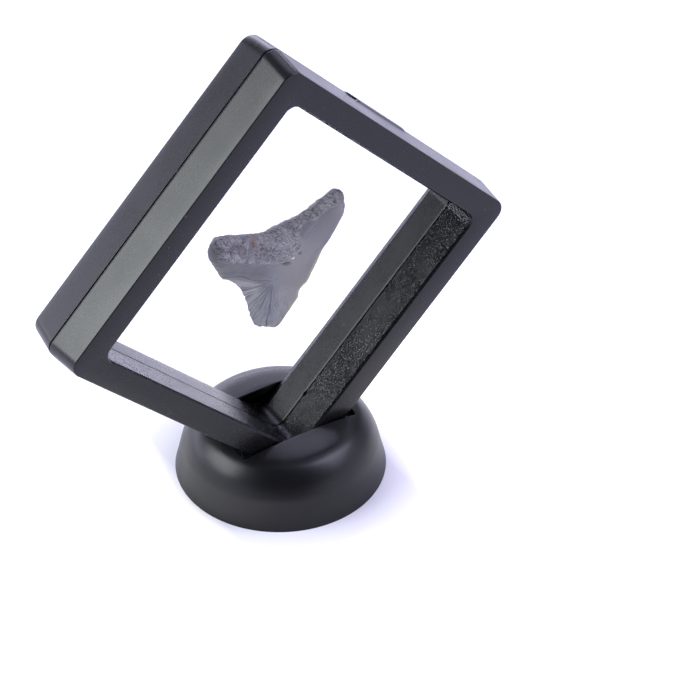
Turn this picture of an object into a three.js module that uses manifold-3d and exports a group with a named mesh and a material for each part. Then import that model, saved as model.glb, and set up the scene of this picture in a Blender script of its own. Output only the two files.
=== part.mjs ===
// A fossil shark tooth held between two stretched clear films, in a square frame of two
// halves that stands on one corner in the slot of a round hollow stand.
// Millimetres, +Z up, front to -Y. The origin is on the table, under the middle of the frame.

import * as THREE from 'three';
import { mergeVertices } from 'three/addons/utils/BufferGeometryUtils.js';
import Module from 'manifold-3d';

// Frame. Its own X runs right and down, its own Z right and up, because it is turned by 45
// degrees. A half side is measured from the middle of the window.
const FRAME_SIDE = 90;
const FRAME_DEPTH = 20;
const FRAME_DRAFT = 0.9; // each outer side leans in by this much from seam to face
const FRAME_CORNER = 3.5;
const WINDOW_SIDE = 74.4;
const WINDOW_CORNER = 2.8;
// How much the window widens at a half's face, and over which depth
const FRONT_FLARE = [0.3, 2.6];
const BACK_FLARE = [0.85, 1.9];
const EDGE_ROUND = 0.4;
const SEAM_GAP = 0.3;
const CORNER_STEPS = 6;

// Raised grip on the upper right side, where the halves are pulled apart
const GRIP_START = -15.6; // along that side, from its middle
const GRIP_END = 7.4;
const GRIP_NOTCH = 3.3; // the front half's grip starts later, which shows a dark gap
const GRIP_HEIGHT = 0.35;
const GRIP_DEPTH = 1.2;

// Clear films, pinched between the halves in a shallow rebate
const FILM_SIDE = 81.8;
const FILM_THICKNESS = 0.16;
const FILM_GAP = 0.1;
const FILM_EDGE_PLAY = 0.3;
const FILM_FLAT = 2; // how far inside the window the films start to rise
const FILM_CELLS = 16; // cells across the window, the flat edge left out
const FILM_GATHER = 0.28; // 0 spaces the cells evenly, more makes them smaller in the middle
const TOOTH_PLAY = 0.2; // between the tooth and a film
const TOUCH_SAMPLES = 4; // places looked at in each cell for the tooth under it
const RELAX_ROUNDS = 300;

// Stand, as radius and height: its outside from the foot up to the gently domed top, and its
// inside from under the top down to the foot
const STAND_OUTSIDE = [
  [27.5, 0], [26.8, 2.8], [26, 6.2], [25.2, 9], [23.6, 12.1], [21.2, 14.7], [19.2, 15.8],
  [16.5, 16.4], [12, 16.8],
];
const STAND_INSIDE = [
  [15.5, 14.4], [19.6, 13], [22, 10.6], [22.9, 8], [23.6, 5], [24.2, 2.4], [24.9, 0],
];
const STAND_TOP = 16.9;
const STAND_WALL = 2;
const STAND_BORE = 3; // turned away in the middle, within the slot
const SLOT_LENGTH = 33.6;
const SLOT_WIDTH = 21.1;
const SLOT_CORNER = 1.2;
const SLOT_STEPS = 4;
const STAND_SHIFT = 0.45; // the frame stands a little nearer the left end of the slot
const FRAME_LIFT = 0.4; // sharp lower corner of the frame above the table
const STAND_SEGMENTS = 40;
const OUTSIDE_STEPS = 12;
const INSIDE_STEPS = 6;

// Tooth. x to the right and z up from the middle of the window.
const ROOT_EDGE = [
  [-18.6, 10.8], [-17.9, 12.8], [-16.4, 14.1], [-13.1, 13.9], [-7.4, 11.9], [-3.5, 10.9],
  [-0.3, 11.0], [3.0, 11.5], [6.3, 11.9], [9.5, 12.7], [12.8, 13.9], [15.2, 15.0],
  [17.4, 15.9], [18.8, 15.5], [19.6, 13.8], [19.9, 11.2],
];
const LEFT_EDGE = [
  [-18.6, 10.8], [-18.1, 8.6], [-17.2, 6.2], [-16.0, 3.7], [-15.0, 2.0], [-13.4, 0.6],
  [-11.3, -1.6], [-10.2, -3.4], [-8.8, -6.5], [-8.1, -10.0], [-7.6, -13.1], [-6.4, -15.9],
];
const RIGHT_EDGE = [
  [19.9, 11.2], [19.5, 8.9], [16.7, 4.2], [15.4, 1.9], [13.5, -0.9], [11.1, -5.3],
  [8.9, -8.9], [7.8, -9.5], [6.7, -10.7], [6.5, -12.4], [5.0, -14.3], [2.6, -17.0],
  [0.5, -19.1],
];
const TIP_EDGE = [[-6.4, -15.9], [-5.1, -17.0], [-2.5, -18.2], [-0.5, -19.3], [0.5, -19.1]];
const ROOT_LINE = [
  [-20, 7.4], [-16.4, 6.3], [-6.5, 4.6], [0, 2.8], [3.2, 3.3], [5.4, 4.4], [6.9, 8.2],
  [11, 11.4], [15, 13.0], [21, 14.6],
];
const PITS = [
  { at: [1.1, 3.2], radius: 1.3, depth: 0.9 },
  { at: [4.0, 4.2], radius: 1.2, depth: 0.7 },
  { at: [-7.2, 10.6], radius: 1.2, depth: 0.5 },
];
const TOOTH_COLUMNS = 34;
const TOOTH_ROWS = 28;
// Heights of each side over the tooth's middle plane: its root, the neck and tip of its
// crown, its rough lumps, the ledge where the root ends, and how much of the pits it has
const FRONT_SIDE = { root: 3.5, neck: 2.5, tip: 1.2, lumps: 0.6, ledge: 0.35, pits: 1 };
const BACK_SIDE = { root: 2.8, neck: 1.9, tip: 0.9, lumps: 0.4, ledge: 0.2, pits: 0 };
const ROOT_ROUND = 4; // how far in the root's blunt edge reaches
const CROWN_ROUND = 9.5; // and the crown's sharp one
const BLUNT_FROM_TO = [-3, 6]; // z between which the sharp edge turns into the blunt one
const TIP_TO_NECK = [-19, 2]; // z of both
const ROOT_BLEND = 2.4; // height over which the root swells out of the crown
const LEDGE_RISE = 0.6; // middle of the ledge over the root line
const LEDGE_WIDTH = 1.1;
const ROUGH_FROM_EDGE = 2; // the outline itself stays free of lumps
const LUMP_SIZE = 3.4;
const FINE_LUMPS = 2.3; // times smaller than the others
const FINE_SHARE = 0.35;
const CROWN_LUMPS = 0.15; // of the root's

const wasm = await Module();
wasm.setup();

// Vertices that lie on each other become one, and triangles left without area go
function closedGeometry(positions, triangles) {
  const loose = new THREE.BufferGeometry();
  loose.setAttribute('position', new THREE.Float32BufferAttribute(positions, 3));
  loose.setIndex(triangles);
  const merged = mergeVertices(loose);
  const index = merged.getIndex().array;
  const kept = [];
  for (let i = 0; i < index.length; i += 3) {
    const [a, b, c] = [index[i], index[i + 1], index[i + 2]];
    if (a !== b && b !== c && c !== a) kept.push(a, b, c);
  }
  merged.setIndex(kept);
  merged.computeVertexNormals();
  return merged;
}

function toSolid(geometry) {
  const bare = geometry.clone();
  bare.deleteAttribute('normal');
  bare.deleteAttribute('uv');
  const merged = mergeVertices(bare);
  return new wasm.Manifold(new wasm.Mesh({
    numProp: 3,
    vertProperties: new Float32Array(merged.getAttribute('position').array),
    triVerts: new Uint32Array(merged.getIndex().array),
  }));
}

function toGeometry(solid) {
  const mesh = solid.getMesh();
  return closedGeometry(Array.from(mesh.vertProperties), Array.from(mesh.triVerts));
}

// One loop of the frame: a square with round corners, in the frame's X and Z
function roundedSquare(half, radius, y) {
  const loop = [];
  for (let corner = 0; corner < 4; corner += 1) {
    const turn = corner * Math.PI / 2;
    const mid = new THREE.Vector2(half - radius, half - radius);
    mid.rotateAround(new THREE.Vector2(), turn);
    for (let step = 0; step <= CORNER_STEPS; step += 1) {
      const angle = turn + step / CORNER_STEPS * Math.PI / 2;
      loop.push([mid.x + radius * Math.cos(angle), y, mid.y + radius * Math.sin(angle)]);
    }
  }
  return loop;
}

// A ring: loops joined one to the next, the last one to the first
function ringGeometry(loops) {
  const size = loops[0].length;
  const triangles = [];
  for (let k = 0; k < loops.length; k += 1) {
    const next = (k + 1) % loops.length;
    for (let i = 0; i < size; i += 1) {
      const j = (i + 1) % size;
      const [a, b, c, d] = [k * size + i, k * size + j, next * size + j, next * size + i];
      triangles.push(a, b, c, a, c, d);
    }
  }
  return closedGeometry(loops.flat(2), triangles);
}

function box(size, centre) {
  return new THREE.BoxGeometry(...size).translate(...centre);
}

// side is -1 for the front half and 1 for the back half
function frameHalf(side) {
  const outer = FRAME_SIDE / 2;
  const face = FRAME_DEPTH / 2;
  const window = WINDOW_SIDE / 2;
  const seam = SEAM_GAP / 2;
  const chamfer = seam;
  const rebate = 1.5 * FILM_GAP + FILM_THICKNESS;
  const rebateEdge = FILM_SIDE / 2 + FILM_EDGE_PLAY;
  const faceOuter = outer - FRAME_DRAFT;
  const [flare, flareDepth] = side < 0 ? FRONT_FLARE : BACK_FLARE;
  const faceWindow = window + flare;
  const faceCorner = WINDOW_CORNER + flare;
  const half = EDGE_ROUND / 2;
  // half side, corner radius, distance from the middle of the seam
  const section = [
    [outer - chamfer, FRAME_CORNER - chamfer, seam],
    [outer, FRAME_CORNER, seam + chamfer],
    [faceOuter, FRAME_CORNER, face - EDGE_ROUND],
    [faceOuter - half / 2, FRAME_CORNER - half / 2, face - half / 2],
    [faceOuter - EDGE_ROUND, FRAME_CORNER - EDGE_ROUND, face],
    [faceWindow + EDGE_ROUND, faceCorner + EDGE_ROUND, face],
    [faceWindow + half / 2, faceCorner + half / 2, face - half / 2],
    [faceWindow, faceCorner, face - EDGE_ROUND],
    [window, WINDOW_CORNER, face - flareDepth],
    [window, WINDOW_CORNER, rebate + chamfer],
    [window + chamfer, WINDOW_CORNER + chamfer, rebate],
    [rebateEdge, FILM_EDGE_PLAY, rebate],
    [rebateEdge, FILM_EDGE_PLAY, seam],
  ];
  const loops = section.map(([reach, radius, depth]) => roundedSquare(reach, radius, side * depth));
  if (side > 0) loops.reverse();
  const start = side < 0 ? GRIP_START + GRIP_NOTCH : GRIP_START;
  const grip = box(
    [GRIP_END - start, GRIP_DEPTH, 2 * GRIP_HEIGHT],
    [(start + GRIP_END) / 2, side * (seam + GRIP_DEPTH / 2), outer],
  );
  return toGeometry(toSolid(ringGeometry(loops)).add(toSolid(grip)));
}

function slotCutter() {
  const outline = new THREE.Shape();
  for (const [corner, right, back] of [[0, 1, 1], [1, -1, 1], [2, -1, -1], [3, 1, -1]]) {
    const x = right * (SLOT_LENGTH / 2 - SLOT_CORNER);
    const y = back * (SLOT_WIDTH / 2 - SLOT_CORNER);
    const turn = corner * Math.PI / 2;
    outline.absarc(x, y, SLOT_CORNER, turn, turn + Math.PI / 2);
  }
  const settings = { depth: STAND_TOP, bevelEnabled: false, curveSegments: SLOT_STEPS };
  return new THREE.ExtrudeGeometry(outline, settings).translate(0, 0, STAND_TOP / 2);
}

// The stand is one hollow turned shell with a slot through its top
function standGeometry() {
  const curve = (points) => new THREE.SplineCurve(points.map(([r, z]) => new THREE.Vector2(r, z)));
  const underTop = new THREE.Vector2(STAND_BORE, STAND_TOP - STAND_WALL);
  const profile = [
    underTop,
    ...curve(STAND_INSIDE).getPoints(INSIDE_STEPS),
    ...curve(STAND_OUTSIDE).getPoints(OUTSIDE_STEPS),
    new THREE.Vector2(STAND_BORE, STAND_TOP),
    underTop,
  ];
  const shell = new THREE.LatheGeometry(profile, STAND_SEGMENTS).rotateX(Math.PI / 2);
  const cut = toGeometry(toSolid(shell).subtract(toSolid(slotCutter())));
  return cut.translate(STAND_SHIFT, 0, 0);
}

// Smooth random lumps between -1 and 1, the same on every run
function lattice(i, j) {
  let h = Math.imul(i, 374761393) + Math.imul(j, 668265263);
  h = Math.imul(h ^ (h >>> 13), 1274126177);
  return ((h ^ (h >>> 16)) >>> 0) / 2147483647.5 - 1;
}

function lumps(x, z) {
  const [i, j] = [Math.floor(x), Math.floor(z)];
  const s = THREE.MathUtils.smoothstep(x - i, 0, 1);
  const t = THREE.MathUtils.smoothstep(z - j, 0, 1);
  const low = THREE.MathUtils.lerp(lattice(i, j), lattice(i + 1, j), s);
  const high = THREE.MathUtils.lerp(lattice(i, j + 1), lattice(i + 1, j + 1), s);
  return THREE.MathUtils.lerp(low, high, t);
}

function curveThrough(points) {
  const places = points.map(([x, z]) => new THREE.Vector3(x, 0, z));
  return new THREE.CatmullRomCurve3(places, false, 'centripetal');
}

const EDGES = {
  root: curveThrough(ROOT_EDGE).getSpacedPoints(TOOTH_COLUMNS),
  tip: curveThrough(TIP_EDGE).getSpacedPoints(TOOTH_COLUMNS),
  left: curveThrough(LEFT_EDGE).getSpacedPoints(TOOTH_ROWS),
  right: curveThrough(RIGHT_EDGE).getSpacedPoints(TOOTH_ROWS),
};
const OUTLINE = [
  ...EDGES.root,
  ...EDGES.right.slice(1),
  ...EDGES.tip.toReversed().slice(1),
  ...EDGES.left.toReversed().slice(1),
];

// How far a place is inside the tooth's outline, 0 outside
function inset(x, z) {
  const place = new THREE.Vector3(x, 0, z);
  const near = new THREE.Vector3();
  const side = new THREE.Line3();
  let distance = Infinity;
  let inside = false;
  OUTLINE.forEach((start, i) => {
    const end = OUTLINE[(i + 1) % OUTLINE.length];
    side.set(start, end).closestPointToPoint(place, true, near);
    distance = Math.min(distance, near.distanceTo(place));
    const crosses = (start.z > z) !== (end.z > z);
    if (crosses && x < THREE.MathUtils.mapLinear(z, start.z, end.z, start.x, end.x)) inside = !inside;
  });
  return inside ? distance : 0;
}

function rootLine(x) {
  const i = Math.max(1, ROOT_LINE.findIndex(([end]) => x < end));
  const [[x0, z0], [x1, z1]] = [ROOT_LINE[i - 1], ROOT_LINE[i]];
  return THREE.MathUtils.mapLinear(x, x0, x1, z0, z1);
}

// Height of one side of the tooth over its middle plane
function swell(x, z, form) {
  const { smoothstep, clamp, lerp, mapLinear } = THREE.MathUtils;
  const edge = inset(x, z);
  const above = z - rootLine(x);
  const root = smoothstep(above, -ROOT_BLEND / 2, ROOT_BLEND);
  const [tip, neck] = TIP_TO_NECK;
  const crown = mapLinear(clamp(z, tip, neck), tip, neck, form.tip, form.neck);
  const sharp = Math.sin(Math.min(edge / CROWN_ROUND, 1) * Math.PI / 2);
  const blunt = Math.sqrt(1 - (1 - Math.min(edge / ROOT_ROUND, 1)) ** 2);
  const smooth = lerp(crown, form.root, root) * lerp(sharp, blunt, smoothstep(z, ...BLUNT_FROM_TO));

  const [i, j] = [x / LUMP_SIZE, z / LUMP_SIZE];
  const rough = lerp(lumps(i, j), lumps(FINE_LUMPS * i, FINE_LUMPS * j), FINE_SHARE);
  let relief = form.lumps * rough * lerp(CROWN_LUMPS, 1, root);
  relief += form.ledge * Math.exp(-(((above - LEDGE_RISE) / LEDGE_WIDTH) ** 2));
  for (const { at, radius, depth } of PITS) {
    const away = Math.hypot(x - at[0], z - at[1]) / radius;
    relief -= form.pits * depth * Math.exp(-(away ** 2));
  }
  return Math.max(smooth + relief * Math.min(edge / ROUGH_FROM_EDGE, 1), 0);
}

// A closed sheet between two surfaces over one grid of columns and rows. front(i, j) and
// back(i, j) give points, front on the side of -Y.
function sheetGeometry(columns, rows, front, back) {
  const positions = [];
  for (const surface of [front, back]) {
    for (let j = 0; j <= rows; j += 1) {
      for (let i = 0; i <= columns; i += 1) positions.push(...surface(i, j));
    }
  }
  const at = (i, j, far) => far * (columns + 1) * (rows + 1) + j * (columns + 1) + i;
  const triangles = [];
  const quad = (a, b, c, d) => triangles.push(a, b, c, a, c, d);
  for (let j = 0; j < rows; j += 1) {
    for (let i = 0; i < columns; i += 1) {
      quad(at(i, j, 0), at(i, j + 1, 0), at(i + 1, j + 1, 0), at(i + 1, j, 0));
      quad(at(i, j, 1), at(i + 1, j, 1), at(i + 1, j + 1, 1), at(i, j + 1, 1));
    }
  }
  for (let i = 0; i < columns; i += 1) {
    quad(at(i, 0, 0), at(i + 1, 0, 0), at(i + 1, 0, 1), at(i, 0, 1));
    quad(at(i, rows, 0), at(i, rows, 1), at(i + 1, rows, 1), at(i + 1, rows, 0));
  }
  for (let j = 0; j < rows; j += 1) {
    quad(at(0, j, 0), at(0, j, 1), at(0, j + 1, 1), at(0, j + 1, 0));
    quad(at(columns, j, 0), at(columns, j + 1, 0), at(columns, j + 1, 1), at(columns, j, 1));
  }
  return closedGeometry(positions, triangles);
}

// The tooth's grid: its columns fan from the root edge to the tip, between the side edges
function toothPlace(i, j) {
  const [u, v] = [i / TOOTH_COLUMNS, j / TOOTH_ROWS];
  const { root, tip, left, right } = EDGES;
  const [last, end] = [TOOTH_COLUMNS, TOOTH_ROWS];
  const corners = (axis) => (1 - u) * (1 - v) * root[0][axis] + u * (1 - v) * root[last][axis]
    + (1 - u) * v * left[end][axis] + u * v * right[end][axis];
  const blend = (axis) => (1 - v) * root[i][axis] + v * tip[i][axis]
    + (1 - u) * left[j][axis] + u * right[j][axis] - corners(axis);
  return [blend('x'), blend('z')];
}

function toothGeometry() {
  const onRim = (i, j) => i === 0 || j === 0 || i === TOOTH_COLUMNS || j === TOOTH_ROWS;
  const surface = (side, form) => (i, j) => {
    const [x, z] = toothPlace(i, j);
    return [x, onRim(i, j) ? 0 : side * swell(x, z, form), z];
  };
  return sheetGeometry(TOOTH_COLUMNS, TOOTH_ROWS, surface(-1, FRONT_SIDE), surface(1, BACK_SIDE));
}

// Grid lines across a film, closer together over the tooth, with a flat edge each side
function filmLines() {
  const free = WINDOW_SIDE / 2 - FILM_FLAT;
  const lines = [-FILM_SIDE / 2];
  for (let k = 0; k <= FILM_CELLS; k += 1) {
    const t = 2 * k / FILM_CELLS - 1;
    lines.push(free * THREE.MathUtils.lerp(t, t ** 3, FILM_GATHER));
  }
  return [...lines, FILM_SIDE / 2];
}

// The tooth's greatest height in the cells around one crossing of a film's grid lines
function heightUnder(lines, i, j, form) {
  let most = 0;
  for (let s = -TOUCH_SAMPLES; s <= TOUCH_SAMPLES; s += 1) {
    for (let t = -TOUCH_SAMPLES; t <= TOUCH_SAMPLES; t += 1) {
      const reach = Math.abs(s) / TOUCH_SAMPLES;
      const lift = Math.abs(t) / TOUCH_SAMPLES;
      const across = THREE.MathUtils.lerp(lines[i], lines[i + Math.sign(s)], reach);
      const along = THREE.MathUtils.lerp(lines[j], lines[j + Math.sign(t)], lift);
      const x = (across + along) * Math.SQRT1_2;
      const z = (along - across) * Math.SQRT1_2;
      most = Math.max(most, swell(x, z, form));
    }
  }
  return most;
}

// How far a film stands off its flat place: a stretched sheet over the tooth, found by
// relaxing each free place towards its neighbours but never below the tooth under it
function filmRise(lines, form) {
  const last = lines.length - 1;
  const free = (i) => i > 1 && i < last - 1;
  const need = lines.map((_, i) => lines.map((__, j) => {
    const under = free(i) && free(j) ? heightUnder(lines, i, j, form) : 0;
    return under > 0 ? under + TOOTH_PLAY : 0;
  }));
  const rise = need.map((row) => [...row]);
  for (let round = 0; round < RELAX_ROUNDS; round += 1) {
    for (let i = 2; i < last - 1; i += 1) {
      for (let j = 2; j < last - 1; j += 1) {
        const [w, e] = [1 / (lines[i] - lines[i - 1]), 1 / (lines[i + 1] - lines[i])];
        const [d, u] = [1 / (lines[j] - lines[j - 1]), 1 / (lines[j + 1] - lines[j])];
        const across = w * rise[i - 1][j] + e * rise[i + 1][j];
        const along = d * rise[i][j - 1] + u * rise[i][j + 1];
        rise[i][j] = Math.max(need[i][j], (across + along) / (w + e + d + u));
      }
    }
  }
  return rise;
}

function filmGeometry(side, form) {
  const lines = filmLines();
  const rise = filmRise(lines, form);
  const cells = lines.length - 1;
  const inner = FILM_GAP / 2;
  const surface = (offset) => (i, j) => {
    const row = cells - j;
    return [lines[i], side * (rise[i][row] + offset), lines[row]];
  };
  const [near, far] = [surface(inner), surface(inner + FILM_THICKNESS)];
  return side < 0 ? sheetGeometry(cells, cells, far, near) : sheetGeometry(cells, cells, near, far);
}

function plastic(color, roughness) {
  return new THREE.MeshStandardMaterial({ color, roughness, metalness: 0 });
}

function clear() {
  return new THREE.MeshStandardMaterial({
    color: 0xffffff, roughness: 0.05, metalness: 0, transparent: true, opacity: 0.15,
  });
}

function fossil() {
  return new THREE.MeshStandardMaterial({ color: 0x6e6a78, roughness: 0.6, metalness: 0 });
}

function piece(name, geometry, material) {
  const mesh = new THREE.Mesh(geometry, material);
  mesh.name = name;
  return mesh;
}

const framed = new THREE.Group();
framed.position.z = FRAME_LIFT + FRAME_SIDE * Math.SQRT1_2;

const turned = new THREE.Group();
turned.rotation.y = Math.PI / 4;
turned.add(
  piece('frame_front', frameHalf(-1), plastic(0x26262d, 0.45)),
  piece('frame_back', frameHalf(1), plastic(0x26262d, 0.45)),
  piece('film_front', filmGeometry(-1, FRONT_SIDE), clear()),
  piece('film_back', filmGeometry(1, BACK_SIDE), clear()),
);
framed.add(turned, piece('tooth', toothGeometry(), fossil()));

const display = new THREE.Group();
display.add(piece('stand', standGeometry(), plastic(0x222228, 0.5)), framed);

export default display;
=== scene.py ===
# A fossil shark tooth held between two stretched clear films, in a square frame of two
# halves that stands on one corner in the slot of a round hollow stand.
# Lengths are millimetres until a mesh is made, then metres. x runs right, y to the back, z up.

import math

import bpy
import numpy as np
from mathutils import Matrix, Vector


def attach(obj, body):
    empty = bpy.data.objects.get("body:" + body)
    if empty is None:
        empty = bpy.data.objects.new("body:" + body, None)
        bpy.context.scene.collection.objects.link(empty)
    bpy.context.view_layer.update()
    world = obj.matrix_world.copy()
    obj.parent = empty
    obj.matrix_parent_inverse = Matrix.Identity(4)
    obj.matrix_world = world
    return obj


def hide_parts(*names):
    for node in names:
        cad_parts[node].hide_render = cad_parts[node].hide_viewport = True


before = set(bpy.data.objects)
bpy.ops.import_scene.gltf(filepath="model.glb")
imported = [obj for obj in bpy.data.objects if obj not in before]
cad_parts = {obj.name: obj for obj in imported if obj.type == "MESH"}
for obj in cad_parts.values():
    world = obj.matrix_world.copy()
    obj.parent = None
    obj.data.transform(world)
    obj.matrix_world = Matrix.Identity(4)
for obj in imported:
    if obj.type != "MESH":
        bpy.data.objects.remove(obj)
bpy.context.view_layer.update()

MM = 0.001

# Frame. Its own X runs right and down, its own Z right and up, because it stands turned by
# 45 degrees. A half side is measured from the middle of the window.
FRAME_SIDE = 90
FRAME_DEPTH = 20
FRAME_DRAFT = 0.9
FRAME_CORNER = 3.5
WINDOW_SIDE = 74.4
WINDOW_CORNER = 2.8
FRONT_FLARE = (0.3, 0.7)
BACK_FLARE = (0.85, 1.9)
EDGE_ROUND = 0.32
SEAM_ROUND = 0.12
SEAM_GAP = 0.4
FILM_SLIT = 0.42
FRAME_LIFT = 0.4
FRAME_MIDDLE = FRAME_LIFT + FRAME_SIDE / math.sqrt(2)
CORNER_STEPS = 14
SIDE_STEPS = 160
ROUND_STEPS = 4

# Grip on the upper right side
GRIP_START = -15.6
GRIP_END = 7.4
GRIP_NOTCH = 3.3
GRIP_HEIGHT = 0.35
GRIP_DEPTH = 1.2
GRIP_DIP = 0.5

# Inside of the seam, where the halves meet, and the step that holds the films
MEETING_GAP = 0.04
MEETING_FROM_EDGE = 0.9
FILM_STEP = 0.3

# Small faults of the seam, as place along a side, width and depth
SEAM_NOTCH = (-25.9, 0.5, 0.45)
SEAM_BRIDGE = (8.4, 0.6, 0.11)

# Clear films
FILM_SIDE = 81.8
FILM_THICKNESS = 0.09
FILM_GAP = 0.12
FILM_CELLS = 128
FILM_HELD = 40.5
FILM_PLAY = 0.12
FILM_ROUNDS = 700
FILM_PULL = 1.9

# Stand, as radius and height
STAND_OUTSIDE = [
    (27.5, 0), (26.8, 2.8), (26, 6.2), (25.2, 9), (23.6, 12.1), (21.2, 14.7), (19.2, 15.8),
    (16.5, 16.4), (12, 16.8),
]
STAND_INSIDE = [
    (15.5, 14.4), (19.6, 13), (22, 10.6), (22.9, 8), (23.6, 5), (24.2, 2.4), (24.9, 0),
]
STAND_TOP = 16.9
STAND_WALL = 2
STAND_BORE = 3
STAND_SHIFT = 0.45
SLOT_LENGTH = 33.6
SLOT_WIDTH = 21.1
SLOT_CORNER = 1.2
STAND_SEGMENTS = 192
SLOT_ROUND = 0.22

PLASTIC_IOR = 1.40

# Camera
CAMERA_PLACE = (-258.3, -440.4, 448.1)
CAMERA_AIM = (21.8, 0, 27.9)
CAMERA_ROLL = 0.14
CAMERA_LENS = 133.6


def smoothstep(low, high, value):
    t = np.clip((value - low) / (high - low), 0, 1)
    return t * t * (3 - 2 * t)


def mix(a, b, t):
    return a + (b - a) * t


def bell(value, middle, width, height):
    return height * np.exp(-(((value - middle) / width) ** 2))


# Smooth random values between -1 and 1 over a plane, the same on every run
def lattice(i, j, seed):
    h = (i.astype(np.int64) * 374761393 + j.astype(np.int64) * 668265263 + seed * 974711) & 0xFFFFFFFF
    h = ((h ^ (h >> 13)) * 1274126177) & 0xFFFFFFFF
    return (h ^ (h >> 16)) / 2147483647.5 - 1


def value_noise(x, z, seed):
    i, j = np.floor(x), np.floor(z)
    s, t = smoothstep(0, 1, x - i), smoothstep(0, 1, z - j)
    low = mix(lattice(i, j, seed), lattice(i + 1, j, seed), s)
    high = mix(lattice(i, j + 1, seed), lattice(i + 1, j + 1, seed), s)
    return mix(low, high, t)


def layered_noise(x, z, size, layers, seed):
    total, weight = 0, 1
    norm = 0
    for layer in range(layers):
        total = total + weight * value_noise(x / size, z / size, seed + layer)
        norm += weight
        size, weight = size / 2.1, weight * 0.55
    return total / norm


def mesh_object(name, vertices, faces):
    mesh = bpy.data.meshes.new(name)
    mesh.from_pydata([tuple(v) for v in np.asarray(vertices) * MM], [], faces)
    mesh.validate()
    piece = bpy.data.objects.new(name, mesh)
    bpy.context.scene.collection.objects.link(piece)
    return piece


def dress(piece, node, material, sharp=None):
    piece.data.materials.clear()
    piece.data.materials.append(material)
    piece.data.shade_smooth()
    if sharp is not None:
        piece.data.set_sharp_from_angle(angle=math.radians(sharp))
    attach(piece, "root")
    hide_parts(node)


def bake_modifiers(piece):
    depsgraph = bpy.context.evaluated_depsgraph_get()
    baked = bpy.data.meshes.new_from_object(piece.evaluated_get(depsgraph))
    piece.modifiers.clear()
    piece.data = baked


# Materials
class Nodes:
    """Adds nodes to a material and links them."""

    def __init__(self, name):
        self.material = bpy.data.materials.new(name)
        self.material.use_nodes = True
        self.tree = self.material.node_tree
        self.shader = self.tree.nodes["Principled BSDF"]

    def add(self, kind, inputs=None, **settings):
        node = self.tree.nodes.new(kind)
        for key, value in settings.items():
            setattr(node, key, value)
        for key, value in (inputs or {}).items():
            self.put(node.inputs[key], value)
        return node

    def put(self, socket, value):
        if isinstance(value, bpy.types.NodeSocket):
            self.tree.links.new(value, socket)
        else:
            socket.default_value = value

    def set(self, **values):
        for key, value in values.items():
            self.put(self.shader.inputs[key.replace("_", " ")], value)

    def place(self):
        return self.add("ShaderNodeTexCoord").outputs["Object"]

    def noise(self, scale, detail=2.0, roughness=0.5, place=None):
        return self.add("ShaderNodeTexNoise", {
            "Vector": place or self.place(), "Scale": scale, "Detail": detail, "Roughness": roughness,
        }).outputs["Fac"]

    def ramp(self, value, low, high, start=0.0, end=1.0):
        return self.add("ShaderNodeMapRange", {
            "Value": value, "From Min": low, "From Max": high, "To Min": start, "To Max": end,
        }, clamp=True).outputs["Result"]

    def lines(self, value, full, none):
        """Thin lines where a noise passes its middle value."""
        away = self.math("ABSOLUTE", self.math("SUBTRACT", value, 0.5))
        return self.ramp(away, full, none, 1.0, 0.0)

    def math(self, operation, a, b=0.0):
        return self.add("ShaderNodeMath", {0: a, 1: b}, operation=operation).outputs[0]

    def blend(self, factor, a, b, blend_type="MIX"):
        node = self.add("ShaderNodeMix", data_type="RGBA", blend_type=blend_type)
        self.put(node.inputs[0], factor)
        self.put(node.inputs[6], a)
        self.put(node.inputs[7], b)
        return node.outputs[2]

    def bump(self, height, distance, strength=1.0, normal=None):
        inputs = {"Height": height, "Distance": distance, "Strength": strength}
        if normal is not None:
            inputs["Normal"] = normal
        return self.add("ShaderNodeBump", inputs).outputs["Normal"]

    def value(self, name):
        return self.add("ShaderNodeAttribute", attribute_name=name).outputs["Fac"]


def moulded_plastic(name, colour, roughness, grain):
    """Dark matt plastic with the fine grain of its mould, faint cloudiness and some dust."""
    nodes = Nodes(name)
    cloud = nodes.noise(70, 3, 0.6)
    fine = nodes.noise(2300, 3, 0.7)
    specks = nodes.ramp(nodes.noise(650, 1, 0.4), 0.80, 0.82)
    darker, lighter = (tuple(share * c for c in colour) for share in (0.75, 1.3))
    shade = nodes.blend(nodes.ramp(fine, 0.3, 0.7), (*darker, 1), (*lighter, 1))
    dusty = nodes.blend(nodes.math("MULTIPLY", specks, 0.12), shade, (0.30, 0.30, 0.33, 1))
    spread = nodes.math("ADD", nodes.ramp(cloud, 0.3, 0.7, -0.03, 0.03),
                        nodes.ramp(fine, 0.3, 0.7, -0.03, 0.03))
    nodes.set(Base_Color=dusty, Roughness=nodes.math("ADD", spread, roughness), IOR=PLASTIC_IOR,
              Normal=nodes.bump(fine, grain * MM))
    return nodes.material


def clear_film(name):
    nodes = Nodes(name)
    smudge = nodes.ramp(nodes.noise(40, 4, 0.6), 0.45, 0.75, 0.0, 0.02)
    nodes.set(Base_Color=(1, 1, 1, 1), Roughness=smudge, IOR=1.28, Transmission_Weight=1.0)
    return nodes.material


# Frame halves
def rounded_square(half, radius):
    """One loop of the frame in its own X and Z: an arc at each corner, then a straight side."""
    loop = []
    for corner in range(4):
        turn = corner * math.pi / 2
        reach = half - radius
        middle = (reach * math.cos(turn) - reach * math.sin(turn),
                  reach * math.sin(turn) + reach * math.cos(turn))
        for step in range(CORNER_STEPS + 1):
            angle = turn + step / CORNER_STEPS * math.pi / 2
            loop.append((middle[0] + radius * math.cos(angle), middle[1] + radius * math.sin(angle)))
        start, side = loop[-1], (-math.sin(turn), math.cos(turn))
        along = (-math.cos(turn), -math.sin(turn))
        for step in range(1, SIDE_STEPS):
            length = 2 * reach * step / SIDE_STEPS
            loop.append((start[0] + along[0] * length, start[1] + along[1] * length))
    return np.array(loop)


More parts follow.
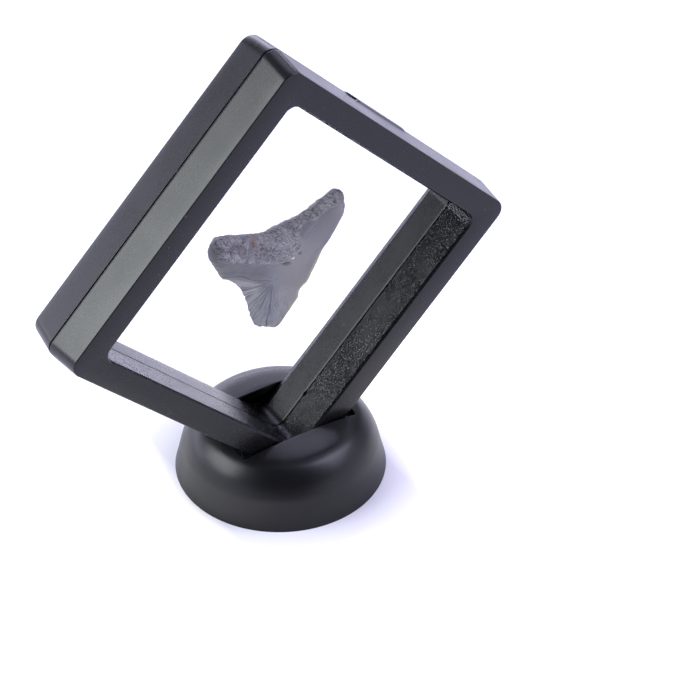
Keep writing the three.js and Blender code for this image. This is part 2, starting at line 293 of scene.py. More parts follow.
def arc(start, end, bulge_to):
    """Points of a quarter round from start to end, in (half side, depth), round the corner bulge_to."""
    points = []
    for step in range(ROUND_STEPS + 1):
        t = step / ROUND_STEPS * math.pi / 2
        a, b = 1 - math.sin(t), 1 - math.cos(t)
        points.append(tuple(
            bulge_to[k] + a * (start[k] - bulge_to[k]) + b * (end[k] - bulge_to[k]) for k in (0, 1)
        ))
    return points


def frame_section(flare, flare_depth):
    """(half side, depth from the seam's middle) round one half's bar, from the seam outwards."""
    outer, face = FRAME_SIDE / 2, FRAME_DEPTH / 2
    window, seam, slit = WINDOW_SIDE / 2, SEAM_GAP / 2, FILM_SLIT / 2
    face_outer, face_window = outer - FRAME_DRAFT, window + flare
    lean = FRAME_DRAFT / (face - seam)
    section = arc((outer - SEAM_ROUND, seam), (outer, seam + SEAM_ROUND), (outer, seam))
    section += [(outer - lean * d, seam + d) for d in (0.6, 1.0, 1.5, 2.2, 4, 6, 8)]
    section += arc((face_outer, face - EDGE_ROUND), (face_outer - EDGE_ROUND, face), (face_outer, face))
    section += arc((face_window + EDGE_ROUND, face), (face_window, face - EDGE_ROUND), (face_window, face))
    section += [(window + flare * t, face - flare_depth + t * (flare_depth - EDGE_ROUND))
                for t in (0.94, 0.5, 0.06, 0)]
    section += [(window, face - flare_depth - 0.1)]
    section += [(window, d) for d in (5, 2.6, 1)]
    section += arc((window, slit + SEAM_ROUND), (window + SEAM_ROUND, slit), (window, slit))
    step, rim = FILM_SIDE / 2 + FILM_STEP, outer - MEETING_FROM_EDGE
    section += [(step, slit), (step, MEETING_GAP / 2), (rim, MEETING_GAP / 2), (rim, seam)]
    return section


def frame_half(name, side):
    outer, window = FRAME_SIDE / 2, WINDOW_SIDE / 2
    inner_from = (outer + window) / 2
    vertices = []
    section = frame_section(*(FRONT_FLARE if side < 0 else BACK_FLARE))
    for half, depth in section:
        if half > FILM_SIDE / 2 and half > inner_from:
            radius = FRAME_CORNER - (outer - half) + FRAME_DRAFT * min(depth / (FRAME_DEPTH / 2), 1)
        elif half > FILM_SIDE / 2:
            radius = 0.3
        else:
            radius = WINDOW_CORNER + half - window
        loop = rounded_square(half, max(radius, 0.3))
        x, z = loop[:, 0], loop[:, 1]
        lift = np.zeros(len(loop))
        if half > inner_from and depth < 2.2:
            start = GRIP_START + (GRIP_NOTCH if side < 0 else 0)
            on = smoothstep(start - 0.2, start + 0.2, x) * (1 - smoothstep(GRIP_END - 0.7, GRIP_END + 0.3, x))
            deep = float(smoothstep(GRIP_DEPTH + 0.6, GRIP_DEPTH - 0.3, depth))
            lift = GRIP_HEIGHT * on * (z > half - 0.5) * deep
            if side < 0:
                dip = smoothstep(GRIP_START - 0.4, GRIP_START, x) * (1 - smoothstep(start - 0.4, start, x))
                lift -= GRIP_DIP * dip * (z > half - 0.5) * float(smoothstep(1.1, 0.4, depth))
        y = np.full(len(loop), float(depth))
        if half < inner_from and depth < 1:
            y += bell(z, *SEAM_NOTCH) * (x > window - 0.5)
        elif half > outer - 0.5 and depth < 0.6:
            y -= bell(z, *SEAM_BRIDGE) * (x < -window)
        z = z + lift
        world_x = (x + z) / math.sqrt(2)
        world_z = (z - x) / math.sqrt(2) + FRAME_MIDDLE
        vertices.append(np.stack([world_x, side * y, world_z], 1))
    size, rings = len(vertices[0]), len(vertices)
    faces = []
    for k in range(rings):
        for i in range(size):
            quad = (k * size + i, k * size + (i + 1) % size,
                    (k + 1) % rings * size + (i + 1) % size, (k + 1) % rings * size + i)
            faces.append(quad if side < 0 else quad[::-1])
    return mesh_object(name, np.concatenate(vertices), faces)


# Stand
def spline(points, steps):
    """The smooth curve through the points that the solid model uses."""
    padded = [points[0], *points, points[-1]]
    curve = []
    for step in range(steps + 1):
        t = step / steps * (len(points) - 1)
        i = min(int(t), len(points) - 2)
        t -= i
        p0, p1, p2, p3 = (np.array(p, float) for p in padded[i:i + 4])
        v0, v1 = (p2 - p0) / 2, (p3 - p1) / 2
        curve.append((2 * p1 - 2 * p2 + v0 + v1) * t ** 3
                     + (-3 * p1 + 3 * p2 - 2 * v0 - v1) * t ** 2 + v0 * t + p1)
    return curve


def turned(name, profile):
    """A closed ring turned from a closed profile of (radius, height)."""
    angles = np.arange(STAND_SEGMENTS) / STAND_SEGMENTS * 2 * math.pi
    vertices = [(r * math.cos(a), r * math.sin(a), h) for r, h in profile for a in angles]
    count = STAND_SEGMENTS
    faces = []
    for k in range(len(profile)):
        below, above = k * count, (k + 1) % len(profile) * count
        for i in range(count):
            j = (i + 1) % count
            faces.append((below + i, below + j, above + j, above + i))
    return mesh_object(name, vertices, faces)


def slot_cutter():
    outline = []
    for corner, (right, back) in enumerate(((1, 1), (-1, 1), (-1, -1), (1, -1))):
        for step in range(CORNER_STEPS + 1):
            angle = (corner + step / CORNER_STEPS) * math.pi / 2
            outline.append((right * (SLOT_LENGTH / 2 - SLOT_CORNER) + SLOT_CORNER * math.cos(angle),
                            back * (SLOT_WIDTH / 2 - SLOT_CORNER) + SLOT_CORNER * math.sin(angle)))
    count = len(outline)
    vertices = [(x, y, z) for z in (STAND_TOP / 2, STAND_TOP * 1.5) for x, y in outline]
    faces = [(i, (i + 1) % count, (i + 1) % count + count, i + count) for i in range(count)]
    faces += [tuple(range(count))[::-1], tuple(range(count, 2 * count))]
    return mesh_object("slot_cutter", vertices, faces)


def stand():
    profile = [
        (STAND_BORE, STAND_TOP - STAND_WALL),
        *spline(STAND_INSIDE, 28),
        *spline(STAND_OUTSIDE, 56),
        (STAND_BORE, STAND_TOP),
    ]
    piece = turned("round_stand", profile)
    slot = slot_cutter()
    cut = piece.modifiers.new("slot", "BOOLEAN")
    cut.operation, cut.solver, cut.object = "DIFFERENCE", "EXACT", slot
    bake_modifiers(piece)
    bpy.data.objects.remove(slot)
    rim = piece.modifiers.new("rim", "BEVEL")
    rim.width, rim.segments, rim.limit_method = SLOT_ROUND * MM, 3, "ANGLE"
    rim.angle_limit = math.radians(40)
    bake_modifiers(piece)
    piece.data.transform(Matrix.Translation((STAND_SHIFT * MM, 0, 0)))
    return piece


# Tooth
ROOT_EDGE = [
    (-18.6, 10.8), (-17.9, 12.8), (-16.4, 14.1), (-13.1, 13.9), (-7.4, 11.9), (-3.5, 10.9),
    (-0.3, 11.0), (3.0, 11.5), (6.3, 11.9), (9.5, 12.7), (12.8, 13.9), (15.2, 15.0),
    (17.4, 15.9), (18.8, 15.5), (19.6, 13.8), (19.9, 11.2),
]
LEFT_EDGE = [
    (-18.6, 10.8), (-18.1, 8.6), (-17.2, 6.2), (-16.0, 3.7), (-15.0, 2.0), (-13.4, 0.6),
    (-11.3, -1.6), (-10.2, -3.4), (-8.8, -6.5), (-8.1, -10.0), (-7.6, -13.1), (-6.4, -15.9),
]
RIGHT_EDGE = [
    (19.9, 11.2), (19.5, 8.9), (16.7, 4.2), (15.4, 1.9), (13.5, -0.9), (11.1, -5.3),
    (8.9, -8.9), (7.8, -9.5), (6.7, -10.7), (6.5, -12.4), (5.0, -14.3), (2.6, -17.0),
    (0.5, -19.1),
]
TIP_EDGE = [(-6.4, -15.9), (-5.1, -17.0), (-2.5, -18.2), (-0.5, -19.3), (0.5, -19.1)]
ROOT_LINE = [
    (-20, 7.4), (-16.4, 6.3), (-6.5, 4.6), (0, 2.8), (3.2, 3.3), (5.4, 4.4), (6.9, 8.2),
    (11, 11.4), (15, 13.0), (21, 14.6),
]
TOOTH_COLUMNS = 220
TOOTH_ROWS = 210
ROOT_ROUND = 4
CROWN_ROUND = 9.5
BLUNT_FROM_TO = (-3, 6)
TIP_BREAK = 0.7
TIP_TO_NECK = (-19, 2)
ROOT_BLEND = 2.4

# Rough crust of the root, and the groove along it
FRONT_CRUST = [
    (-17.9, 13.2), (-17.6, 10.2), (-16.2, 8.7), (-14.6, 8.1), (-12.2, 7.3), (-8.1, 5.7), (-4.4, 3.9),
    (-2.6, 2.7), (1.1, 1.8), (2.6, 2.4), (4.0, 2.9), (5.4, 3.3), (6.0, 4.9), (5.6, 7.4), (5.3, 10.0),
    (6.8, 10.9), (9.0, 11.4), (10.7, 11.3), (12.7, 12.5), (14.8, 13.1), (17.0, 13.4), (18.9, 13.0),
    (19.6, 17), (8, 16), (-4, 15), (-16, 16),
]
FRONT_GROOVE = [(-13.4, 11.6), (-9.6, 10.4), (-7.0, 9.0), (-4.8, 7.9), (-2.2, 6.4), (1.2, 5.6), (4.4, 5.8)]
BACK_CRUST = [
    (-16.5, 12.5), (-16.8, 10.2), (-12.5, 9.3), (-6.2, 7.7), (-0.4, 6.6), (4.4, 7.3), (9, 9.6),
    (14, 11.4), (18.6, 12.2), (18.5, 17), (8, 16), (-4, 15), (-16, 16),
]
BACK_GROOVE = [(-3.0, 11), (-1.6, 8.6), (-0.6, 6.8)]

# Hollows as place, radius along the crown's width, radius along its height, depth and painted shade
FRONT_PITS = [
    (1.75, 1.35, 1.0, 0.5, 0.7, 2.5), (5.5, 3.0, 0.42, 0.4, 0.4, 1.2),
    (-7.4, 10.5, 0.9, 0.6, 0.5, 0.2), (4.4, 5.2, 0.6, 0.4, 0.35, 0.4), (0.0, 3.4, 0.6, 0.35, 0.3, 0.35),
    (-9.9, 7.6, 0.35, 0.5, 0.3, 0.3), (3.7, 11.0, 1.2, 0.35, 0.3, 0.3),
    (10.6, 12.6, 0.9, 0.3, 0.25, 0.3), (-4.9, 8.5, 0.9, 0.4, 0.3, 0.3),
]
BACK_PITS = [
    (-1.4, 8.2, 0.5, 0.8, 0.6, 0.7), (3.6, 9.8, 0.5, 0.4, 0.4, 0.4), (-8.6, 9.9, 0.7, 0.5, 0.4, 0.4),
]

# Pale and dark patches of crust, as place and radius
FRONT_PATCHES = [
    (-15.6, 11.1, 0.8), (-13.6, 9.4, 1.1), (-12.4, 8.7, 0.9), (-11.2, 8.1, 0.8), (-8.9, 7.2, 0.8),
    (-9.2, 11.1, 0.9), (-6.3, 10.5, 0.7), (-4.2, 9.8, 0.8), (-2.4, 9.5, 1.0), (-0.2, 8.7, 1.3),
    (1.7, 9.0, 1.4), (2.2, 10.2, 1.2), (0.9, 7.9, 1.0), (4.2, 9.4, 1.0), (3.6, 8.2, 0.9), (6.4, 10.9, 0.7),
    (7.6, 11.1, 0.7), (10.5, 11.9, 0.9), (11.8, 12.2, 0.9), (12.9, 13.5, 0.8), (14.6, 14.0, 0.9),
    (-15.9, 13.6, 0.6), (-12.5, 13.3, 0.8), (-10.7, 12.7, 0.7), (-4.6, 10.7, 0.8), (-3.4, 10.3, 0.7),
    (-4.3, 4.3, 0.6), (-6.1, 6.0, 0.5), (-1.2, 7.8, 0.7), (9.0, 11.6, 0.5), (17.2, 14.9, 0.9),
]
FRONT_SHADES = [
    (-17.0, 12.6, 1.1), (-16.6, 13.6, 0.7), (-5.1, 7.9, 1.5), (-6.6, 7.6, 1.3), (-7.2, 6.4, 0.8),
    (4.4, 7.2, 1.3), (4.8, 5.8, 1.1), (3.9, 10.9, 1.2), (8.2, 12.2, 1.3), (10.1, 12.9, 1.0),
    (6.2, 12.2, 1.2), (-1.9, 10.2, 0.7), (-2.6, 5.9, 1.6), (-0.3, 5.9, 1.3), (1.4, 6.6, 1.0),
    (2.9, 11.2, 1.2), (-0.3, 10.9, 1.2), (-12.4, 12.2, 1.0), (-9.6, 12.2, 0.7), (-16.6, 9.9, 0.9),
    (-14.4, 11.7, 0.9), (-10.2, 6.9, 0.5), (2.4, 4.6, 0.9), (-1.0, 4.0, 0.9),
]
BACK_PATCHES = [(-9, 10.6, 1.4), (-3.6, 8.9, 1.1), (5.2, 10.2, 1.5), (12, 12.9, 1.2), (0.8, 9.4, 1.0)]
BACK_SHADES = [(-12, 11.2, 1.3), (-6, 9.6, 1.2), (2.6, 8.2, 1.2), (8.6, 11.2, 1.2), (15, 13.6, 1.2)]

# Cracks that fan out from one place in the enamel, as direction in degrees, start, end and depth
FAN_CENTRE = (-1.9, -3.1)
FAN_CRACKS = [
    (186, 2.2, 9.5, 0.5), (199, 2.0, 9.0, 0.3), (210, 1.8, 8.6, 0.4), (225.5, 0.6, 8.0, 0.7),
    (236.5, 2.2, 9.0, 0.3), (245.5, 0.8, 9.4, 0.75), (256, 1.6, 12.5, 0.35), (263.5, 1.2, 14.6, 0.85),
    (274, 1.6, 9.5, 0.3), (48, 0.4, 3.2, 0.45), (28, 0.8, 3.6, 0.3),
]
FAN_LINES_PER_RADIAN = 14
FAN_WANDER_PER_METRE = 130
FAN_BY_ANGLE = ((168, 182, 232, 246, 290, 320), (0, 1.0, 1.0, 0.65, 0.5, 0))
ENAMEL_EDGE = [
    (-15.2, 3.1), (-12.8, 2.7), (-10.9, 2.2), (-8.4, 0.1), (-6.0, -1.5), (-4.2, -1.8), (-2.4, -2.6),
]
SECOND_LINES = [
    [(-14.6, 2.2), (-11.2, 1.1), (-8.6, -0.7), (-6.2, -2.1), (-3.0, -3.0)],
    [(-11.8, 3.9), (-8.0, 2.2), (-4.6, 0.3), (-2.4, -1.6)],
    [(0.4, -6.8), (2.6, -7.4), (4.2, -7.1), (5.6, -6.2)],
]
ORANGE_SPOT = (-7.0, 11.0, 0.75)
# Painted glint: a white fleck that stands in for a small reflection, as place and width
PAINTED_GLINT = (3.5, 2.35, 0.5)
DUSK = [
    (-13, 4.4, 1.8), (-10, 3.6, 2.2), (-7, 2.1, 2.2), (-4.6, 0.8, 2.4), (-2.6, -0.8, 2.2), (-1.9, -3.0, 2.2),
]
LIGHT_BY_ANGLE = ((150, 166, 190, 216, 240, 262, 292, 330), (0, 0.75, 1.0, 1.0, 0.6, 0.5, 0.35, 0))
LIGHT_FROM = ((150, 176, 330), (4.0, 1.6, 1.6))


def curve_through(points, count):
    """Points on a centripetal Catmull-Rom curve, closer together near its ends."""
    points = [np.array(p, float) for p in points]
    padded = [2 * points[0] - points[1], *points, 2 * points[-1] - points[-2]]
    fine = []
    for i in range(len(points) - 1):
        p = padded[i:i + 4]
        gaps = [np.linalg.norm(p[k + 1] - p[k]) ** 0.5 for k in range(3)]
        knots = np.cumsum([0, *gaps])
        for t in np.linspace(knots[1], knots[2], 24, endpoint=False):
            a = [mix(p[k], p[k + 1], (t - knots[k]) / gaps[k]) for k in range(3)]
            b = [mix(a[k], a[k + 1], (t - knots[k]) / (knots[k + 2] - knots[k])) for k in range(2)]
            fine.append(mix(b[0], b[1], (t - knots[1]) / gaps[1]))
    fine = np.array([*fine, points[-1]])
    length = lengths_along(fine)
    at = rim_spacing(count) * length[-1]
    return np.stack([np.interp(at, length, fine[:, k]) for k in (0, 1)], 1)


def lengths_along(line):
    return np.concatenate([[0], np.cumsum(np.linalg.norm(np.diff(line, axis=0), axis=1))])


def rim_spacing(count):
    """From 0 to 1, with smaller steps near both ends, where the tooth's rim turns."""
    t = np.linspace(0, 1, count + 1)
    return mix(t, (1 - np.cos(math.pi * t)) / 2, 0.5)


def ragged(edge, amount, size, seed):
    """The edge with its points moved sideways at random, its ends kept."""
    along = np.gradient(edge, axis=0)
    across = np.stack([-along[:, 1], along[:, 0]], 1) / np.linalg.norm(along, axis=1)[:, None]
    length = lengths_along(edge)
    shift = amount * layered_noise(length, 0 * length, size, 3, seed)
    fade = smoothstep(0, 1.5, length) * smoothstep(0, 1.5, length[-1] - length)
    return edge + across * (shift * fade)[:, None]


EDGES = {
    "root": ragged(curve_through(ROOT_EDGE, TOOTH_COLUMNS), 0.24, 1.5, 3),
    "tip": ragged(curve_through(TIP_EDGE, TOOTH_COLUMNS), 0.4, 1.0, 4),
    "left": ragged(curve_through(LEFT_EDGE, TOOTH_ROWS), 0.3, 1.1, 5),
    "right": ragged(curve_through(RIGHT_EDGE, TOOTH_ROWS), 0.14, 1.8, 6),
}
OUTLINE = np.concatenate([
    EDGES["root"][:-1], EDGES["right"][:-1], EDGES["tip"][::-1][:-1], EDGES["left"][::-1],
])


def distance_to(x, z, line):
    """Distance of places from a line through points."""
    places = np.stack([x, z], -1).reshape(-1, 2)
    nearest = np.full(len(places), np.inf)
    line = np.asarray(line, float)
    for start, end in zip(line, line[1:]):
        side = end - start
        t = np.clip(((places - start) @ side) / (side @ side), 0, 1)
        away = places - start - t[:, None] * side
        nearest = np.minimum(nearest, np.hypot(away[:, 0], away[:, 1]))
    return nearest.reshape(np.shape(x))


def is_inside(x, z, outline):
    inside = np.zeros(np.shape(x), bool)
    for start, end in zip(outline, np.roll(outline, -1, axis=0)):
        if start[1] != end[1]:
            crosses = (start[1] > z) != (end[1] > z)
            inside ^= crosses & (x < start[0] + (z - start[1]) / (end[1] - start[1]) * (end[0] - start[0]))
    return inside


def inset(x, z):
    """How far places are inside the tooth's outline, 0 outside."""
    return np.where(is_inside(x, z, OUTLINE), distance_to(x, z, OUTLINE), 0)


def root_line(x):
    return np.interp(x, [p[0] for p in ROOT_LINE], [p[1] for p in ROOT_LINE])


FRONT_SIDE = {
    "root": 3.5, "neck": 2.5, "tip": 1.2, "lumps": 0.6, "ledge": 0.3, "seed": 11, "crust": FRONT_CRUST,
    "groove": FRONT_GROOVE, "pits": FRONT_PITS, "patches": FRONT_PATCHES, "shades": FRONT_SHADES,
    "fan": True,
}
BACK_SIDE = {
    "root": 2.8, "neck": 1.9, "tip": 0.9, "lumps": 0.4, "ledge": 0.2, "seed": 53, "crust": BACK_CRUST,
    "groove": BACK_GROOVE, "pits": BACK_PITS, "patches": BACK_PATCHES, "shades": BACK_SHADES,
    "fan": False,
}


def swell(x, z, edge, form):
    """Height of one side of the tooth over its middle plane, as in the solid model."""
    seed = form["seed"]
    above = z - root_line(x) + 0.5 * layered_noise(x, z, 2.2, 3, seed + 40)
    root = smoothstep(-ROOT_BLEND / 2, ROOT_BLEND, above)
    tip, neck = TIP_TO_NECK
    crown = mix(form["tip"], form["neck"], np.clip((z - tip) / (neck - tip), 0, 1))
    sharp = np.sin(np.minimum(edge / CROWN_ROUND, 1) * math.pi / 2)
    blunt = np.sqrt(1 - (1 - np.minimum(edge / ROOT_ROUND, 1)) ** 2)
    height = mix(crown, form["root"], root) * mix(sharp, blunt, smoothstep(*BLUNT_FROM_TO, z))
    broken = np.minimum(1, distance_to(x, z, EDGES["tip"]) / TIP_BREAK) * form["tip"]
    height = np.maximum(height, 0.6 * broken * smoothstep(-14.5, -17, z) * np.minimum(1, edge / TIP_BREAK))
    cover = np.minimum(edge / 1.2, 1)
    height += cover * form["lumps"] * 0.5 * layered_noise(x, z, 3.4, 2, seed) * mix(0.12, 1, root)
    height += cover * form["ledge"] * np.exp(-(((above - 0.6) / 1.1) ** 2))
    return height


def spots(x, z, places):
    """Soft round spots given as place and radius, together between 0 and 1."""
    total = 0 * x
    for centre_x, centre_z, radius in places:
        away = np.hypot(x - centre_x, z - centre_z) / radius
        total = np.maximum(total, np.exp(-away ** 2))
    return total


def carve(x, z, edge, body, form):
    """The finer shape of one side and its markings, with painted shade in the pits and a painted glint: a
    height and named shares from 0 to 1.
    """
    seed = form["seed"]
    up = z - 0.8 * body
    crust_line = np.array([*form["crust"], form["crust"][0]], float)
    reach = distance_to(x, z, crust_line) * np.where(is_inside(x, z, crust_line), 1, -1)
    reach = reach + 0.35 * layered_noise(x, up, 1.3, 3, seed + 50)
    rough = smoothstep(-0.1, 0.45, reach)
    ridges = 1 - 1.6 * np.abs(layered_noise(x, up, 1.7, 4, seed + 60))
    grains = layered_noise(x, up, 0.55, 3, seed + 70)
    pores = smoothstep(0.25, 0.5, layered_noise(x, up, 0.85, 2, seed + 80))
    broken = layered_noise(x, up, 0.75, 3, seed + 90)
    patches = smoothstep(0.15, 0.55, spots(x, z, form["patches"]) * (1 + 1.1 * broken))
    shades = smoothstep(0.15, 0.65, spots(x, z, form["shades"]) * (1 + 0.8 * broken))
    relief = rough * (0.16 + 0.40 * (ridges - 0.55) + 0.13 * grains - 0.2 * pores)
    relief += rough * (0.16 * patches - 0.16 * shades)
    relief -= rough * 0.4 * np.exp(-((distance_to(x, z, form["groove"]) / 1.15) ** 2))
    relief += (1 - rough) * (0.07 * layered_noise(x, z, 4.2, 2, seed + 95)
                             + 0.012 * layered_noise(x, z, 0.8, 3, seed + 97))
    dark = 0 * x
    # Each pit is carved as a hollow and darkened in its colour as painted shade
    for centre_x, centre_z, wide, high, depth, painted_shade in form["pits"]:
        turn = -0.3 * (x - centre_x)
        pit_with_painted_shade = np.exp(-(((x - centre_x) / wide) ** 2 + ((z - centre_z - turn) / high) ** 2) ** 1.5)
        relief -= depth * pit_with_painted_shade
        dark = np.maximum(dark, np.minimum(painted_shade * pit_with_painted_shade, 1))
    marks = {"rough": rough, "patches": patches * rough, "pit_with_painted_shade": dark, "shades": shades * rough}

    left, right = distance_to(x, z, EDGES["left"]), distance_to(x, z, EDGES["right"])
    chips = smoothstep(0.0, 0.4, layered_noise(x, z, 0.9, 3, seed + 100)) * smoothstep(3.5, 1.0, z)
    relief -= 0.3 * chips * smoothstep(1.0, 0.2, left) * np.minimum(edge / 0.4, 1)
    marks["chip"] = 0 * x if form["fan"] else chips * smoothstep(0.85, 0.15, left)
    band = np.interp(z, (-19, -10, -3, 2, 9), (1.0, 1.3, 2.0, 0.8, 0.3))
    band = band * (1 + 0.25 * layered_noise(x, z, 2.4, 2, seed + 110))
    marks["thin"] = smoothstep(band, 0.35 * band, right) * smoothstep(11, 7, z)

    cracks, light, blue = 0 * x, 0 * x, 0 * x
    if form["fan"]:
        across, up = x - FAN_CENTRE[0], z - FAN_CENTRE[1]
        radius = np.hypot(across, up)
        angle = np.degrees(np.arctan2(up, across)) % 360
        bend = 2.2 * layered_noise(radius, 0 * x, 2.5, 2, seed + 120)
        for direction, start, end, depth in FAN_CRACKS:
            turn = (angle - direction - bend + 180) % 360 - 180
            away = np.abs(np.radians(turn)) * radius
            along = smoothstep(start - 0.5, start + 0.8, radius) * smoothstep(end + 0.8, end - 1.2, radius)
            thin = 0.12 + 0.08 * depth
            cracks = np.maximum(cracks, depth * along * np.exp(-((away / thin) ** 2)) * (np.abs(turn) < 60))
        for line, depth in ((ENAMEL_EDGE, 0.75), (SECOND_LINES[0], 0.45), (SECOND_LINES[1], 0.3),
                            (SECOND_LINES[2], 0.25)):
            wander = distance_to(x, z + 0.2 * layered_noise(x, z, 1.5, 2, seed + 130), line)
            cracks = np.maximum(cracks, depth * np.exp(-((wander / 0.19) ** 2)))
        start = np.interp(angle, *LIGHT_FROM)
        light = np.interp(angle, *LIGHT_BY_ANGLE) * smoothstep(start, start + 3.5, radius)
        blue = np.exp(-(((x + 2.4) / 3.2) ** 2)) * smoothstep(-19, -13, z) * smoothstep(2.0, -3.0, z)
        reach = smoothstep(0.8, 2.4, radius) * smoothstep(17, 11, radius)
        marks["fan"] = np.interp(angle, *FAN_BY_ANGLE) * reach
        marks["dusk"] = spots(x, z, DUSK) * (1 - rough)
    else:
        slant = x + 0.12 * z + 0.5 * layered_noise(x, z, 6, 2, seed + 140)
        lines = 1 - np.abs(value_noise(slant / 0.8, z / 9, seed + 150))
        cracks = 0.6 * smoothstep(0.93, 1.0, lines) * smoothstep(4, -1, z)
        marks["fan"], marks["dusk"] = 0 * x, 0 * x
    relief -= 0.07 * cracks * np.minimum(edge, 1)
    marks.update(crack=cracks, light=light, blue=blue)
    marks["orange"] = spots(x, z, [ORANGE_SPOT]) if form["fan"] else 0 * x
    marks["painted_glint"] = 0 * x
    # Painted glint, white in place of a small reflection
    if form["fan"]:
        wide, high = (x - PAINTED_GLINT[0]) / PAINTED_GLINT[2], (z - PAINTED_GLINT[1]) / (0.5 * PAINTED_GLINT[2])
        marks["painted_glint"] = smoothstep(1.3, 0.6, np.hypot(wide, high))
    return relief, marks


def blurred(grid, rounds):
    for _ in range(rounds):
        wide = np.pad(grid, 1, mode="edge")
        grid = (wide[:-2, 1:-1] + wide[2:, 1:-1] + wide[1:-1, :-2] + wide[1:-1, 2:] + grid) / 5
    return grid


def tooth_side(x, z, edge, form):
    body = swell(x, z, edge, form)
    relief, marks = carve(x, z, edge, body, form)
    height = np.maximum(body + relief * np.minimum(edge / 0.8, 1), 0.06 * np.minimum(edge, 1))
    # Painted light and shade: paler where the relief stands above its blurred self, darker where it lies
    # below
    marks["painted_crest_light"] = smoothstep(0.02, 0.16, height - blurred(height, 14))
    marks["hollow"] = smoothstep(0.02, 0.16, blurred(height, 14) - height)
    return height, marks


def tooth():
    u = rim_spacing(TOOTH_COLUMNS)[None, :, None]
    v = rim_spacing(TOOTH_ROWS)[:, None, None]
    root, tip = EDGES["root"][None], EDGES["tip"][None]
    left, right = EDGES["left"][:, None], EDGES["right"][:, None]
    corners = ((1 - u) * (1 - v) * root[0, 0] + u * (1 - v) * root[0, -1]
               + (1 - u) * v * tip[0, 0] + u * v * tip[0, -1])
    places = (1 - v) * root + v * tip + (1 - u) * left + u * right - corners
    x, z = places[..., 0], places[..., 1]
    edge = inset(x, z)
    front, front_marks = tooth_side(x, z, edge, FRONT_SIDE)
    back, back_marks = tooth_side(x, z, edge, BACK_SIDE)
    inner = np.zeros(x.shape, bool)
    inner[1:-1, 1:-1] = True
    front[~inner] = 0
    index = np.arange(x.size).reshape(x.shape)
    behind = index.copy()
    behind[inner] = x.size + np.arange(inner.sum())
    vertices = np.concatenate([
        np.stack([x, -front, z + FRAME_MIDDLE], -1).reshape(-1, 3),
        np.stack([x, back, z + FRAME_MIDDLE], -1)[inner],
    ])
    piece = mesh_object("fossil_tooth", vertices, grid_faces(index) + grid_faces(behind, flip=True))
    for name in front_marks:
        values = np.concatenate([front_marks[name].ravel(), back_marks[name][inner]])
        layer = piece.data.attributes.new(name, "FLOAT", "POINT")
        layer.data.foreach_set("value", values.astype(np.float32))
    return piece


def grid_faces(index, flip=False):
    a, b, c, d = index[:-1, :-1], index[1:, :-1], index[1:, 1:], index[:-1, 1:]
    return np.stack((d, c, b, a) if flip else (a, b, c, d), -1).reshape(-1, 4).tolist()


def fan_lines(nodes):
    """Fine cracks that run away from the fan's centre, as shares from 0 to 1."""
    place = nodes.add("ShaderNodeSeparateXYZ", {0: nodes.place()}).outputs
    across = nodes.math("SUBTRACT", place["X"], FAN_CENTRE[0] * MM)
    down = nodes.math("SUBTRACT", (FAN_CENTRE[1] + FRAME_MIDDLE) * MM, place["Z"])
    turn = nodes.math("MULTIPLY", nodes.math("ARCTAN2", across, down), FAN_LINES_PER_RADIAN)
    radius = nodes.add("ShaderNodeCombineXYZ", {0: across, 1: down})
    radius = nodes.add("ShaderNodeVectorMath", {0: radius.outputs[0]}, operation="LENGTH").outputs["Value"]
    wander = nodes.math("MULTIPLY", radius, FAN_WANDER_PER_METRE)
    spread = nodes.add("ShaderNodeCombineXYZ", {0: turn, 1: wander}).outputs[0]
    return nodes.lines(nodes.noise(1, 1, 0.5, spread), 0.015, 0.075)


